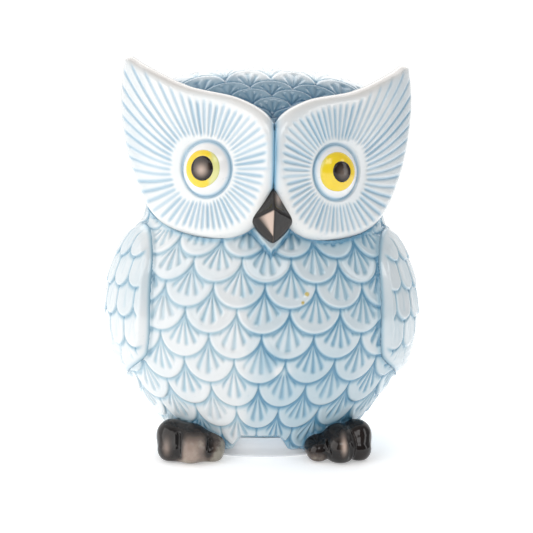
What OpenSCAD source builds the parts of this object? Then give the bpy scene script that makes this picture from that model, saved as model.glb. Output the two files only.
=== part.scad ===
// Owl coin bank: one glazed ceramic casting on a round foot ring, with a soft stopper
// in its base. The owl looks along -Y, +Z is up, its left side is +X, and the origin is
// on the standing surface, in the middle of the owl's width and depth.

/* [Owl] */
// Height from the foot ring to the ear tips
owl_h = 150; // [144:1:156]
// Width across the wings
owl_w = 126; // [120:1:132]
// Depth from the beak to the tail
owl_d = 106; // [102:1:110]
// Thickness of the cast wall
wall = 4; // [3:0.5:5]
// How far the wings stand out of the body
wing_relief = 3.5; // [2:0.5:5]

/* [Face] */
// Distance between the centres of the eyes
eye_spacing = 47; // [44:1:49]
// Height of the eye centres
eye_z = 106; // [102:1:110]
// How far in front of the origin the eye centres are
eye_y = 37.5; // [36:0.5:40]
// Angle that each face disc turns outwards
disc_turn = 29; // [24:1:32]
// Diameter of the eyeball where it meets the disc
eye_d = 18; // [14:1:20]
// How far the eyeball stands out of the disc
eye_rise = 4; // [3:0.5:6]
// Diameter of the yellow iris
iris_d = 13.5; // [11:0.5:15]
// Diameter of the dark pupil
pupil_d = 8; // [5:0.5:9]
// Thickness of the painted glaze on the eye
glaze_t = 0.35; // [0.2:0.05:0.5]

/* [Beak] */
// Height of the beak
beak_h = 19; // [16:1:21]
// Width of the beak
beak_w = 15; // [12:1:17]
// Height of the beak's tip
beak_z = 80.5; // [79:0.5:83]

/* [Coin slot] */
// Length of the coin slot
slot_l = 38; // [30:1:40]
// Height of the coin slot
slot_h = 5; // [4.5:0.5:6]
// Height of the slot's middle, on the back of the head
slot_z = 118; // [112:1:122]

/* [Base] */
// Height of the base, up to the inside floor
base_h = 8; // [7:0.5:10]
// Depth of the round recess under the base
recess_h = 3; // [2.5:0.5:4]
// Diameter of the recess
recess_d = 50; // [47:1:52]
// Diameter of the hole that the stopper closes
hole_d = 36; // [30:1:38]

/* [Stopper] */
// Gap all round between the stopper and its hole
stopper_gap = 0.05; // [0.02:0.01:0.1]
// How far the stopper's rim reaches past the hole
rim_reach = 4; // [3:0.5:5]
// Thickness of the stopper's rim
rim_t = 2; // [1.5:0.5:2]
// Length of the plug above its rim
plug_l = 13; // [11:1:16]
// Wall of the plug
plug_t = 2.2; // [1.8:0.1:3]
// Width of the bar that the fingers pull
grip_w = 5; // [4:0.5:7]

/* [Hidden] */

blue = "#bcd9ee";
pale = "#e6eff5";
brown = "#3b2a26";
yellow = "#e9e23a";

eps = 0.01;
sides = 48;     // points round each ring of the body
steps = 2;      // rings from one station of the body to the next
round_p = 2.2;  // power of the body's rounded outline; 2 is an ellipse

// Stations up the body: height, half width, reach to the front, reach to the back, and
// the depth of the widest point, each in percent of the owl's height or half size.
stations = [
    [0, 54, 57, 57, 0],
    [5.33, 63, 63, 63, 0],
    [10.7, 72, 73, 72, 0],
    [17.3, 83, 81, 79, 0],
    [25.3, 92, 85, 82, 0],
    [34.7, 95, 86, 83, 0],
    [44, 92.5, 82, 82, 0],
    [52, 85.5, 75, 79, -2],
    [58.7, 76, 68, 75, -5],
    [65.3, 74, 67, 74, -9],
    [73.3, 78, 69, 76, -14],
    [82, 80, 67, 76, -16],
    [89.3, 73, 56, 68, -12],
    [94.5, 57, 41, 53, -6],
    [97.4, 32, 23, 30, 0],
    [98.4, 0, 0, 0, 0]
];
last = len(stations) - 1;
neck = 8;       // number of the neck's station, where the head meets the torso

function blend(a, b, t) = a + (b - a) * t;
function signed_pow(v, p) = sign(v) * pow(abs(v), p);

// Smooth curve through four values, at t from the second to the third
function curve(a, b, c, d, t) =
    0.5 * (2 * b + (c - a) * t + (2 * a - 5 * b + 4 * c - d) * t * t
           + (3 * b - a - 3 * c + d) * t * t * t);

// Smooth curve through a list of points; closed lists wrap round, open ones stop
function along(list, s) =
    let (i = min(floor(s), len(list) - 2), n = len(list) - 1)
    curve(list[max(i - 1, 0)], list[i], list[i + 1], list[min(i + 2, n)], s - i);
function around(list, s) =
    let (i = floor(s), n = len(list))
    curve(list[(i + n - 1) % n], list[i % n], list[(i + 1) % n], list[(i + 2) % n], s - i);

// A station in millimetres: height, half width, front, back and middle depth
function station(s) =
    let (p = along(stations, s) / 100)
    [p[0] * owl_h, p[1] * owl_w / 2, -p[2] * owl_d / 2, p[3] * owl_d / 2, p[4] * owl_d / 2];

// The same station moved inwards by the wall, square to the body's side
function inner_station(s) =
    let (p = station(s), a = station(max(s - 0.2, 0)), b = station(min(s + 0.2, last)),
         rise = b[0] - a[0], gain = b[1] - a[1], l = sqrt(rise * rise + gain * gain),
         out = s <= 1 ? 1 : rise / l, up = s <= 1 ? 0 : -gain / l)
    [p[0] - wall * up, max(p[1] - wall * out, 0), p[2] + wall * out, p[3] - wall * out, p[4]];

// A point of a station's outline; 0 degrees is the owl's left side, 90 is its back
function outline_point(p, angle) =
    let (c = signed_pow(cos(angle), 2 / round_p), s = signed_pow(sin(angle), 2 / round_p),
         reach = s > 0 ? p[3] - p[4] : p[4] - p[2])
    [p[1] * c, p[4] + reach * s, p[0]];
function ring(p) = [for (i = [0:sides - 1]) outline_point(p, i * 360 / sides)];

// The station number whose height is z, found by halving
function station_at(z, low = 0, high = last, n = 12) =
    n == 0 ? (low + high) / 2 :
    let (mid = (low + high) / 2)
    station(mid)[0] < z ? station_at(z, mid, high, n - 1) : station_at(z, low, mid, n - 1);

// A point on the body's side at an angle and a height, moved outwards by h
function side_point(angle, z, h) =
    let (p = outline_point(station(station_at(z)), angle))
    p + h * [cos(angle), sin(angle), 0];

// Closed solid from rings stacked upwards; a last ring of one point closes the top
module loft(rings) {
    n = len(rings[0]);
    m = len(rings) - 1;
    tip = m * n;
    flat_top = len(rings[m]) > 1;
    side_faces = [
        for (k = [0:m - (flat_top ? 1 : 2)], i = [0:n - 1])
            let (j = (i + 1) % n, a = k * n, b = a + n)
            each [[a + i, b + i, b + j], [a + i, b + j, a + j]]
    ];
    top_faces = flat_top
        ? [[for (i = [n - 1:-1:0]) tip + i]]
        : [for (i = [0:n - 1]) [tip - n + i, tip, tip - n + (i + 1) % n]];
    polyhedron(
        [for (r = rings) each r],
        concat([[for (i = [0:n - 1]) i]], side_faces, top_faces));
}

// Closed plate between a front and a back, each a centre point followed by rings
module plate(front, back) {
    n = len(front[1]);
    m = len(front) - 1;
    half = 1 + m * n;
    function tri(a, b, c, o, flip) = flip ? [a + o, c + o, b + o] : [a + o, b + o, c + o];
    faces = [
        for (side = [0, 1])
            let (o = side * half, flip = side == 1)
            each [
                for (i = [0:n - 1]) tri(0, 1 + i, 1 + (i + 1) % n, o, flip),
                for (k = [0:m - 2], i = [0:n - 1])
                    let (j = (i + 1) % n, a = 1 + k * n, b = a + n)
                    each [tri(a + i, b + i, b + j, o, flip), tri(a + i, b + j, a + j, o, flip)]
            ],
        for (i = [0:n - 1])
            let (j = (i + 1) % n, a = half - n)
            each [[a + i, a + half + i, a + half + j], [a + i, a + half + j, a + j]]
    ];
    polyhedron(
        [front[0], for (k = [1:m]) each front[k], back[0], for (k = [1:m]) each back[k]],
        faces);
}

// ---- Hollow torso and head ----

// Rings of the skin and of the hollow, from one station up to another. The hollow's end
// rings lie a hair past the skin's, so that it opens through them.
function skin(from, to) = [for (s = [from:1 / steps:to]) ring(station(s))];
function hollow(from, to) = [
    for (s = [from:1 / steps:to])
        let (z = station(s)[0], past = s == from ? -eps : s == neck ? eps : 0)
        [for (p = ring(inner_station(s))) past == 0 ? p : [p[0], p[1], z + past]]
];
crown = station(last)[0];

module torso_shell() {
    color(blue) difference() {
        loft(skin(1, neck));
        loft(hollow(1, neck));
    }
}

module head_hollow() {
    loft(concat(hollow(neck, last - 1 / steps), [[[0, 0, crown - wall]]]));
}

module head_shell() {
    color(blue) difference() {
        loft(concat(skin(neck, last - 1 / steps), [[[0, 0, crown]]]));
        head_hollow();
        coin_slot();
    }
}

module coin_slot() {
    straight = slot_l - slot_h;
    translate([0, owl_d / 4, slot_z]) {
        translate([-straight / 2, 0, -slot_h / 2]) cube([straight, owl_d / 4, slot_h]);
        for (x = [-1, 1])
            translate([x * straight / 2, 0, 0])
                rotate([-90, 0, 0]) cylinder(d = slot_h, h = owl_d / 4, $fn = 32);
    }
}

module base_plate() {
    color(pale) difference() {
        loft([ring(station(0)), ring(station(1))]);
        translate([0, 0, -eps]) cylinder(d = recess_d, h = recess_h + eps, $fn = 96);
        cylinder(d = hole_d, h = base_h + 1, $fn = 96);
    }
}

// ---- Face ----

// Outline of a face disc about its eye: outwards, then upwards along the disc
disc_outline = [
    [41.9, 40], [41.4, 23], [34.9, 0], [21.9, -18.5], [-0.1, -25], [-18.1, -19.5],
    [-26.6, 0], [-24.1, 16], [-11.1, 24.8], [10.9, 30.5], [30.9, 39.5], [39.4, 43.7]
];
disc_sides = 48;
disc_rings = 6;
rim_round = 3;  // radius of the disc's rounded rim

// Depth of the disc's face behind its flat plane: it curves back to the outside and top
function disc_sag(u, v) = 0.004 * pow(max(u - 7, 0), 2) + 0.003 * pow(max(v - 12, 0), 2);

// Depth of the disc from front to back, thickest beside the beak
function disc_depth(u) = u < 0 ? 6.4 - 0.33 * u : 6.4 + 0.05 * u;

function on_disc(u, v, h) =
    [eye_spacing / 2 + u * cos(disc_turn) + h * sin(disc_turn),
     -eye_y + u * sin(disc_turn) - h * cos(disc_turn),
     eye_z + v];

function disc_ring(t, deep) = [
    for (i = [0:disc_sides - 1])
        let (p = around(disc_outline, i * len(disc_outline) / disc_sides), l = norm(p),
             inset = (1 - t) * l, q = p * t,
             drop = inset < rim_round
                 ? rim_round - sqrt(pow(rim_round, 2) - pow(rim_round - inset, 2)) : 0)
        on_disc(q[0], q[1], -disc_sag(q[0], q[1]) - drop)
            + (deep ? [0, disc_depth(q[0]) - drop * cos(disc_turn), 0] : [0, 0, 0])
];

module face_disc() {
    fractions = [for (k = [1:disc_rings]) sin(90 * k / disc_rings)];
    plate(
        [on_disc(0, 0, 0), for (t = fractions) disc_ring(t, false)],
        [on_disc(0, 0, 0) + [0, disc_depth(0), 0], for (t = fractions) disc_ring(t, true)]);
}

module left_face_disc() color(pale) face_disc();
module right_face_disc() color(pale) mirror([1, 0, 0]) face_disc();

// Ear tuft behind the disc's upper corner, running back into the wall of the head
module ear_tuft() {
    difference() {
        hull() {
            translate([50.2, -10, owl_h - 7]) sphere(r = 3, $fn = 28);
            translate([46.5, -7.5, owl_h - 24]) sphere(r = 5.5, $fn = 28);
            translate([37, 7, owl_h - 18]) sphere(r = 8, $fn = 28);
        }
        head_hollow();
    }
}

module left_ear_tuft() color(blue) ear_tuft();
module right_ear_tuft() color(blue) mirror([1, 0, 0]) ear_tuft();

// Radius of the sphere that rises eye_rise out of a circle of diameter eye_d
eye_r = (pow(eye_d / 2, 2) + pow(eye_rise, 2)) / (2 * eye_rise);

// Puts its children at the left eye, with +Z square out of the disc
module at_eye() {
    translate([eye_spacing / 2, -eye_y, eye_z])
        rotate([0, 0, disc_turn]) rotate([90, 0, 0]) children();
}

// Dome of the eyeball, grown by t, out to a diameter and down to a height
module eye_dome(t, d, low) {
    intersection() {
        translate([0, 0, eye_rise - eye_r]) sphere(r = eye_r + t, $fn = 64);
        translate([0, 0, low]) cylinder(d = d, h = eye_rise + 2 - low, $fn = 64);
    }
}

module eyeball() at_eye() eye_dome(0, eye_d + 1, -2);
module iris() at_eye() difference() {
    eye_dome(glaze_t, iris_d, 0);
    eye_dome(0, eye_d + 1, -2);
}
module pupil() at_eye() difference() {
    eye_dome(2 * glaze_t, pupil_d, 0);
    eye_dome(glaze_t, iris_d, 0);
}

module left_eye() color("white") eyeball();
module right_eye() color("white") mirror([1, 0, 0]) eyeball();
module left_iris() color(yellow) iris();
module right_iris() color(yellow) mirror([1, 0, 0]) iris();
module left_pupil() color(brown) pupil();
module right_pupil() color(brown) mirror([1, 0, 0]) pupil();

// Beak: a pointed diamond with a ridge down its middle
module beak() {
    w = beak_w / 2;
    top = beak_z + beak_h;
    wide = beak_z + 0.38 * beak_h;
    front = owl_d / 2;
    color(brown) polyhedron(
        [[0, -front + 5.5, top], [w, -front + 8, wide], [0, -front + 4, beak_z],
         [-w, -front + 8, wide], [0, -front, wide + 3.5],
         [0, -front + 20, top], [w, -front + 20, wide], [0, -front + 20, beak_z + 2],
         [-w, -front + 20, wide]],
        [[4, 1, 0], [4, 2, 1], [4, 3, 2], [4, 0, 3],
         [0, 1, 6], [0, 6, 5], [1, 2, 7], [1, 7, 6],
         [2, 3, 8], [2, 8, 7], [3, 0, 5], [3, 5, 8], [5, 6, 7], [5, 7, 8]]);
}

// ---- Wings and tail, raised on the body's side ----

sunk = 1.5;     // how deep a raised piece is set into the wall

// Raised piece over an outline of [angle, height] points about a centre
module raised(outline, centre, n, rings, height) {
    function at(q, t, h) = side_point(q[0], q[1], h);
    function loop(t, out) = [
        for (i = [0:n - 1])
            let (p = around(outline, i * len(outline) / n), q = blend(centre, p, t))
            at([q[0], max(q[1], 0)], t, out ? height(q[1], t) : -sunk)
    ];
    fractions = [for (k = [1:rings]) sin(90 * k / rings)];
    plate(
        [at(centre, 0, height(centre[1], 0)), for (t = fractions) loop(t, true)],
        [at(centre, 0, -sunk), for (t = fractions) loop(t, false)]);
}

// Left wing, from its shoulder in front down to its tip behind
wing_outline = [
    [43, 21], [44, 36], [30, 58], [10, 77], [-13, 86], [-33, 84], [-45, 75],
    [-49, 58], [-48, 43], [-41, 36], [-14, 28], [20, 22]
];
module wing() {
    raised(wing_outline, [0, 52], 44, 5,
        function (z, t) wing_relief * sqrt(max(1 - pow(t, 4), 0)) - 0.3);
}
module left_wing() color(blue) wing();
module right_wing() color(blue) mirror([1, 0, 0]) wing();

// Tail: a fan that grows outwards down to the standing surface
tail_top = 50;
tail_outline = [
    [114, 0], [90, -1], [66, 0], [66, 12], [71, 28], [78, 42], [90, tail_top],
    [102, 42], [109, 28], [114, 12]
];
module tail() {
    reach = (1 - stations[0][3] / 100) * owl_d / 2;
    color(blue) raised(tail_outline, [90, 20], 40, 6,
        function (z, t) let (down = 1 - max(z, 0) / tail_top)
            reach * pow(max(down, 0), 1.6) + 2 * (1 - pow(t, 6)) * (1 - pow(down, 4)));
}

// ---- Feet ----

// Toes of the left foot: distance from the middle, width, reach to the front, height
toes = [[34.5, 10, 38.5, 14.5], [27.2, 12, 42, 13.5], [19.4, 8.5, 39, 9]];

module toe(x, w, reach, h) {
    r = w / 2;
    hull() {
        translate([x, -reach + r, r * 0.8]) sphere(r = r, $fn = 24);
        translate([x, -reach + r + 3, h - r]) sphere(r = r, $fn = 24);
        translate([x, -reach + 13, r]) sphere(r = r, $fn = 24);
    }
}
module foot() {
    intersection() {
        union() for (t = toes) toe(t[0], t[1], t[2], t[3]);
        translate([0, -owl_d / 2, 0]) cube([owl_w / 2, owl_d / 2, owl_h / 4]);
    }
}
module left_foot() color(brown) foot();
module right_foot() color(brown) mirror([1, 0, 0]) foot();

// ---- Stopper ----

module stopper() {
    plug_r = hole_d / 2 - stopper_gap;
    tip_r = plug_r - 1;
    low = recess_h - rim_t;
    top = recess_h + plug_l;
    color("#e9e6dc") union() {
        rotate_extrude($fn = 96) polygon([
            [plug_r - plug_t, low], [plug_r + rim_reach, low], [plug_r + rim_reach, recess_h],
            [plug_r, recess_h], [plug_r, base_h], [tip_r, top], [0, top],
            [0, top - plug_t], [tip_r - plug_t, top - plug_t]
        ]);
        translate([-plug_r + 1, -grip_w / 2, low])
            cube([2 * plug_r - 2, grip_w, base_h - low]);
    }
}

torso_shell();
head_shell();
base_plate();
left_face_disc();
right_face_disc();
left_ear_tuft();
right_ear_tuft();
left_eye();
right_eye();
left_iris();
right_iris();
left_pupil();
right_pupil();
beak();
left_wing();
right_wing();
left_foot();
right_foot();
tail();
stopper();
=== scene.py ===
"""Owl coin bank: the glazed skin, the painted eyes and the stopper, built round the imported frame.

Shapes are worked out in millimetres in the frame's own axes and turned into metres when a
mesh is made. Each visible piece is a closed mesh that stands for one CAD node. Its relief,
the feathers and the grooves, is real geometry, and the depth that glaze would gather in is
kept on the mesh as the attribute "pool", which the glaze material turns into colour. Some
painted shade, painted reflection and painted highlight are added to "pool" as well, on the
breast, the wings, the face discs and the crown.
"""
import math

import bpy
import numpy as np
from mathutils import Matrix, Vector


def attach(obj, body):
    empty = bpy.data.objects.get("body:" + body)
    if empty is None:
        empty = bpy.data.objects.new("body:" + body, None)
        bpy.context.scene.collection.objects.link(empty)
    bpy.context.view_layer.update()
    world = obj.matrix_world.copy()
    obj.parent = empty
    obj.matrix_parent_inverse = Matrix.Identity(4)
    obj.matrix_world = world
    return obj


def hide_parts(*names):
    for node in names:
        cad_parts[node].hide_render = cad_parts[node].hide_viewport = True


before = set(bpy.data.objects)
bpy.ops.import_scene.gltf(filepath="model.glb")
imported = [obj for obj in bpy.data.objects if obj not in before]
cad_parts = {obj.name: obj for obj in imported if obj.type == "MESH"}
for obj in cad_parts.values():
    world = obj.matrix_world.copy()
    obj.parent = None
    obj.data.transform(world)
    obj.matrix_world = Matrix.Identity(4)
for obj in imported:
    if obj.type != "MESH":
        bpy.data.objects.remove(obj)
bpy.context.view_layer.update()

MM = 0.001
TAU = 2 * math.pi

# ---------------------------------------------------------------- driving sizes, in mm
OWL_H = 150.0
HALF_W = 63.0
HALF_D = 53.0
WALL = 4.0
BASE_H = 8.0
NECK_Z = 88.0

# Stations up the body, in percent of the height and half sizes, as in the CAD model:
# height, half width, reach to the front, reach to the back, depth of the widest point
STATIONS = np.array([
    [0, 54, 57, 57, 0], [5.33, 63, 63, 63, 0], [10.7, 72, 73, 72, 0],
    [17.3, 83, 81, 79, 0], [25.3, 92, 85, 82, 0], [34.7, 95, 86, 83, 0],
    [44, 92.5, 82, 82, 0], [52, 85.5, 75, 79, -2], [58.7, 76, 68, 75, -5],
    [65.3, 74, 67, 74, -9], [73.3, 78, 69, 76, -14], [82, 80, 67, 76, -16],
    [89.3, 73, 56, 68, -12], [94.5, 57, 41, 53, -6], [97.4, 32, 23, 30, 0],
    [98.4, 0, 0, 0, 0],
]) / 100 * np.array([OWL_H, HALF_W, HALF_D, HALF_D, HALF_D])
LAST = len(STATIONS) - 1
ROUND_P = 2.2


# ---------------------------------------------------------------- small maths
def smoothstep(a, b, x):
    t = np.clip((x - a) / (b - a), 0, 1)
    return t * t * (3 - 2 * t)


def bell(x, width):
    """A smooth bump that is 1 where x is 0 and fades over width."""
    return np.exp(-(x / width) ** 2)


def chance(*whole):
    """A repeatable number from 0 to 1 for each set of whole numbers."""
    mix = sum(np.asarray(w, float) * f for w, f in zip(whole, (127.1, 311.7, 74.7)))
    v = np.sin(mix) * 43758.5453
    return v - np.floor(v)


def wobble(p, size, seed=0.0):
    """Smooth noise between about -1 and 1 at points p, with lumps of about the given size."""
    q = np.asarray(p, float) / size
    total = np.zeros(q.shape[:-1])
    for k, (fx, fy, fz) in enumerate(((1.0, 0.6, -0.4), (-0.5, 1.1, 0.7), (0.8, -0.7, 1.0),
                                      (1.7, 1.3, 0.5), (-1.4, 0.4, 1.9))):
        phase = q[..., 0] * fx + q[..., 1] * fy + q[..., 2] * fz
        total += np.sin(TAU * phase / 2 + seed + 1.7 * k + np.sin(phase * 1.3 + k)) / (1 + 0.4 * k)
    return total / 3


def catmull(points, s, closed=False):
    """Points at parameters s on a smooth curve through a list of points."""
    points = np.asarray(points, float)
    n = len(points)
    s = np.asarray(s, float)
    i = np.floor(s).astype(int) if closed else np.clip(np.floor(s).astype(int), 0, n - 2)
    t = (s - i)[..., None]

    def pick(k):
        return points[k % n] if closed else points[np.clip(k, 0, n - 1)]
    a, b, c, d = pick(i - 1), pick(i), pick(i + 1), pick(i + 2)
    return 0.5 * (2 * b + (c - a) * t + (2 * a - 5 * b + 4 * c - d) * t * t
                  + (3 * b - a - 3 * c + d) * t ** 3)


def signed_power(v, p):
    return np.sign(v) * np.abs(v) ** p


# ---------------------------------------------------------------- body surface
FINE_S = np.linspace(0, LAST, 3001)
FINE_STATIONS = catmull(STATIONS, FINE_S)


def station_at(z):
    """Station number at a height."""
    return np.interp(z, FINE_STATIONS[:, 0], FINE_S)


def skin_point(angle, s, grow=0.0):
    """Point of the smooth body at an outline angle and a station, grown by grow."""
    st = catmull(STATIONS, s)
    c = signed_power(np.cos(angle), 2 / ROUND_P)
    n = signed_power(np.sin(angle), 2 / ROUND_P)
    reach = np.where(n > 0, st[..., 3] - st[..., 4], st[..., 4] + st[..., 2])
    x = (st[..., 1] + grow) * c
    y = st[..., 4] + (reach + grow) * n
    return np.stack(np.broadcast_arrays(x, y, st[..., 0]), axis=-1)


# Outline angle as a function of the share of the way round, from the breast (0) towards
# the owl's left (0.25) and back (0.5), measured on the widest ring
REF_ANGLE = np.linspace(-math.pi / 2, 1.5 * math.pi, 4001)
REF_RING = skin_point(REF_ANGLE, np.full(4001, float(station_at(52))))
REF_ARC = np.concatenate([[0], np.cumsum(np.linalg.norm(np.diff(REF_RING, axis=0), axis=1))])
GIRTH = REF_ARC[-1]


def angle_of(share):
    return np.interp(np.mod(share, 1) * GIRTH, REF_ARC, REF_ANGLE)


def share_of(angle):
    turned = np.mod(np.asarray(angle) + math.pi / 2, TAU) - math.pi / 2
    return np.interp(turned, REF_ANGLE, REF_ARC) / GIRTH


def even_rows(curve, count):
    """Parameters that space a sampled curve (a list of points) evenly, from 0 to 1."""
    step = np.linalg.norm(np.diff(curve, axis=0), axis=1)
    run = np.concatenate([[0], np.cumsum(step)])
    return np.interp(np.linspace(0, run[-1], count), run, np.linspace(0, 1, len(curve)))


# ---------------------------------------------------------------- meshes
def grid_faces(rows, cols, wrap_rows=False):
    """Quads of a grid of points that closes on itself across its columns."""
    i = np.arange(rows if wrap_rows else rows - 1)[:, None]
    j = np.arange(cols)[None, :]
    this, after = i * cols, ((i + 1) % rows) * cols
    beside = (j + 1) % cols
    return np.stack([this + j, this + beside, after + beside, after + j],
                    axis=-1).reshape(-1, 4)


def grid_normals(p):
    """Unit normals of a grid of points, by differences along its rows and columns."""
    across = np.roll(p, -1, axis=1) - np.roll(p, 1, axis=1)
    n = np.cross(across, np.gradient(p, axis=0))
    return n / np.maximum(np.linalg.norm(n, axis=-1, keepdims=True), 1e-9)


def new_mesh(name, verts, quads, tris=(), marks=None):
    """Mesh object from points in mm, with one float attribute per entry of marks."""
    quads = np.asarray(quads, int).reshape(-1, 4)
    tris = np.asarray(tris, int).reshape(-1, 3)
    mesh = bpy.data.meshes.new(name)
    mesh.vertices.add(len(verts))
    mesh.vertices.foreach_set("co", (np.asarray(verts) * MM).astype(np.float32).ravel())
    mesh.loops.add(quads.size + tris.size)
    mesh.loops.foreach_set("vertex_index",
                           np.concatenate([quads.ravel(), tris.ravel()]).astype(np.int32))
    mesh.polygons.add(len(quads) + len(tris))
    starts = np.concatenate([np.arange(len(quads)) * 4,
                             quads.size + np.arange(len(tris)) * 3])
    mesh.polygons.foreach_set("loop_start", starts.astype(np.int32))
    mesh.update(calc_edges=True)
    for key, values in (marks or {}).items():
        layer = mesh.attributes.new(key, "FLOAT", "POINT")
        layer.data.foreach_set("value", np.asarray(values, np.float32).ravel())
    mesh.polygons.foreach_set("use_smooth", np.full(len(mesh.polygons), True))
    obj = bpy.data.objects.new(name, mesh)
    bpy.context.scene.collection.objects.link(obj)
    return obj


def capped(name, rings, marks, start_pole, end_pole):
    """Closed mesh from rings of points between two poles. Each value in marks is a grid."""
    rows, cols = rings.shape[:2]
    verts = np.concatenate([rings.reshape(-1, 3), [start_pole], [end_pole]])
    j = np.arange(cols)
    first, last = rows * cols, rows * cols + 1
    top = (rows - 1) * cols
    tris = np.concatenate([
        np.stack([np.full(cols, first), (j + 1) % cols, j], axis=-1),
        np.stack([np.full(cols, last), top + j, top + (j + 1) % cols], axis=-1)])
    flat = {k: np.concatenate([v.ravel(), [v[0].mean()], [v[-1].mean()]])
            for k, v in marks.items()}
    return new_mesh(name, verts, grid_faces(rows, cols), tris, flat)


def ring_mesh(name, rings, marks):
    """Closed mesh from rings that also meet end to end, as round a tube."""
    rows, cols = rings.shape[:2]
    return new_mesh(name, rings.reshape(-1, 3), grid_faces(rows, cols, wrap_rows=True),
                    marks={k: v.ravel() for k, v in marks.items()})


def face_outwards(obj):
    """Turns the faces of a closed mesh outwards if its volume comes out negative."""
    mesh = obj.data
    mesh.calc_loop_triangles()
    n = len(mesh.loop_triangles)
    tri = np.empty(n * 3, np.int32)
    mesh.loop_triangles.foreach_get("vertices", tri)
    co = np.empty(len(mesh.vertices) * 3, np.float32)
    mesh.vertices.foreach_get("co", co)
    a, b, c = co.reshape(-1, 3)[tri.reshape(-1, 3)].astype(float).transpose(1, 0, 2)
    if np.einsum("ij,ij->i", a, np.cross(b, c)).sum() < 0:
        mesh.flip_normals()
    return obj


# ---------------------------------------------------------------- distances and blends
def outline_distance(u, v, outline):
    """Distance from each point to a closed outline."""
    p = np.stack([u.ravel(), v.ravel()], axis=-1)
    best = np.full(len(p), 1e9)
    for p0, p1 in zip(outline, np.roll(outline, -1, axis=0)):
        d = p1 - p0
        t = np.clip(((p - p0) @ d) / (d @ d), 0, 1)
        best = np.minimum(best, np.linalg.norm(p - p0 - t[:, None] * d, axis=1))
    return best.reshape(u.shape)


def outline_reach(turn, outline, centre):
    """How far an outline lies from a centre that it surrounds, at each angle."""
    rel = outline - centre
    polar = np.arctan2(rel[:, 1], rel[:, 0])
    order = np.argsort(polar)
    return np.interp(turn, polar[order], np.linalg.norm(rel[order], axis=1), period=TAU)


def outside(u, v, outline, centre):
    """Signed distance from an outline, negative inside it."""
    away = outline_distance(u, v, outline)
    turn = np.arctan2(v - centre[1], u - centre[0])
    inside = np.hypot(u - centre[0], v - centre[1]) < outline_reach(turn, outline, centre)
    return np.where(inside, -away, away)


def fillet(d, radius):
    """Rise of a concave fillet at a distance d from a wall's foot, sinking under the wall."""
    gap = np.maximum(radius - np.maximum(d, 0), 0)
    rise = radius - np.sqrt(np.maximum(radius ** 2 - gap ** 2, 0))
    return rise * smoothstep(-0.5, 0.0, d) - smoothstep(0, -1.6, d)


def blend_out(points, normals, solid, k, limit=4.0):
    """How far points move outwards for their surface to run smoothly into a solid.

    Where the blended surface reaches the solid it dives under it, so that the two don't lie
    in the same place. Also gives each point's distance from the solid."""
    flat = points.reshape(-1, 3)
    nrm = normals.reshape(-1, 3)
    move = np.zeros(len(flat))
    near = solid(flat)
    pick = np.nonzero((near < k) & (near > -0.7 * k))[0]
    t = np.zeros(len(pick))
    for _ in range(8):
        other = solid(flat[pick] + nrm[pick] * t[:, None])
        h = np.maximum(k - np.abs(t - other), 0) / k
        t = np.clip(t - 0.8 * (np.minimum(t, other) - h * h * k / 4), 0, limit)
    near[pick] = solid(flat[pick] + nrm[pick] * t[:, None])
    move[pick] = t - 0.9 * smoothstep(0.22, 0.02, near[pick])
    return move.reshape(points.shape[:-1]), near.reshape(points.shape[:-1])


# ---------------------------------------------------------------- feathers
def scales(across, up, width, pitch, seed, fan=1.0, lift=0.7):
    """Overlapping round-ended scales: height in mm, glaze pooling, row, and the way below
    the scale above.

    across counts scales sideways, and up is in mm with a row's lower ends at 0 and at
    every pitch below it. width is a scale's width in mm."""
    half = width / 2
    arc = 1.012 * half
    bow = arc - np.sqrt(arc ** 2 - half ** 2)
    row = np.ceil(-up / pitch)

    def local(r):
        off = 0.5 * np.mod(r, 2)
        col = np.round(across - off)
        return (across - off - col) * width, up + r * pitch, col

    dx, dz, col = local(row)
    edge = arc - np.sqrt(np.maximum(arc ** 2 - dx ** 2, 0))
    row = np.where(dz >= edge, row, row + 1)
    dx, dz, col = local(row)
    own = np.where(dz < arc, arc - np.hypot(dx, dz - arc), half - np.abs(dx))
    own = np.maximum(own, 0)
    ux, uz, _ = local(row - 1)
    above = np.maximum(np.hypot(ux, uz - arc) - arc, 0)

    luck = chance(row, col, seed)
    luck2 = chance(col, row, seed + 5)
    luck3 = chance(row + 3, col - 2, seed + 9)
    # grooves fan out from a little below the corner between the two scales above
    apex = pitch + bow - 2.4
    rho = np.hypot(dx, np.maximum(apex - dz, 0.01))
    turn = np.degrees(np.arctan2(dx, apex - dz)) + 8 * (luck2 - 0.5)
    gap = 19.0 + 5 * luck
    shift = np.where(luck3 > 0.45, 0.5, 0.0)
    wedge = 0.5 + 0.5 * np.cos(TAU * (turn / gap + shift))
    finish = 2.3 + 0.8 * luck2 + 0.6 * np.cos(np.radians(turn) * 5 + 6 * luck)
    groove = wedge ** 1.4 * smoothstep(0.5, 3.2, rho) * smoothstep(finish, finish + 1.5, own) \
        * smoothstep(0.3, 1.1, above) * smoothstep(74, 60, np.abs(turn))
    tile = lift * (1 - np.clip(dz / (pitch + bow), 0, 1)) ** 0.9
    height = tile * smoothstep(-0.35, 0.75, own) \
        + 0.14 * bell(own - 1.3, 0.9) \
        - 0.30 * bell(above, 0.6) \
        - fan * (0.34 + 0.20 * luck) * groove
    pool = fan * (0.34 + 0.42 * luck2) * groove + 0.72 * bell(above, 1.05) * (above > 0) \
        + fan * 0.26 * bell(rho, 4.0) + 0.72 * bell(own, 0.36)
    return height, np.clip(pool, 0, 1.2), row, above


# ---------------------------------------------------------------- materials
def node_material(name):
    mat = bpy.data.materials.new(name)
    mat.use_nodes = True
    tree = mat.node_tree
    return mat, tree.nodes, tree.links, tree.nodes["Principled BSDF"]


def feed(links, value, socket):
    """Gives a socket a number, a colour or the output of another node."""
    if isinstance(value, (int, float)):
        socket.default_value = value
    elif isinstance(value, tuple):
        socket.default_value = (*value, 1)
    else:
        links.new(value, socket)


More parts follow.
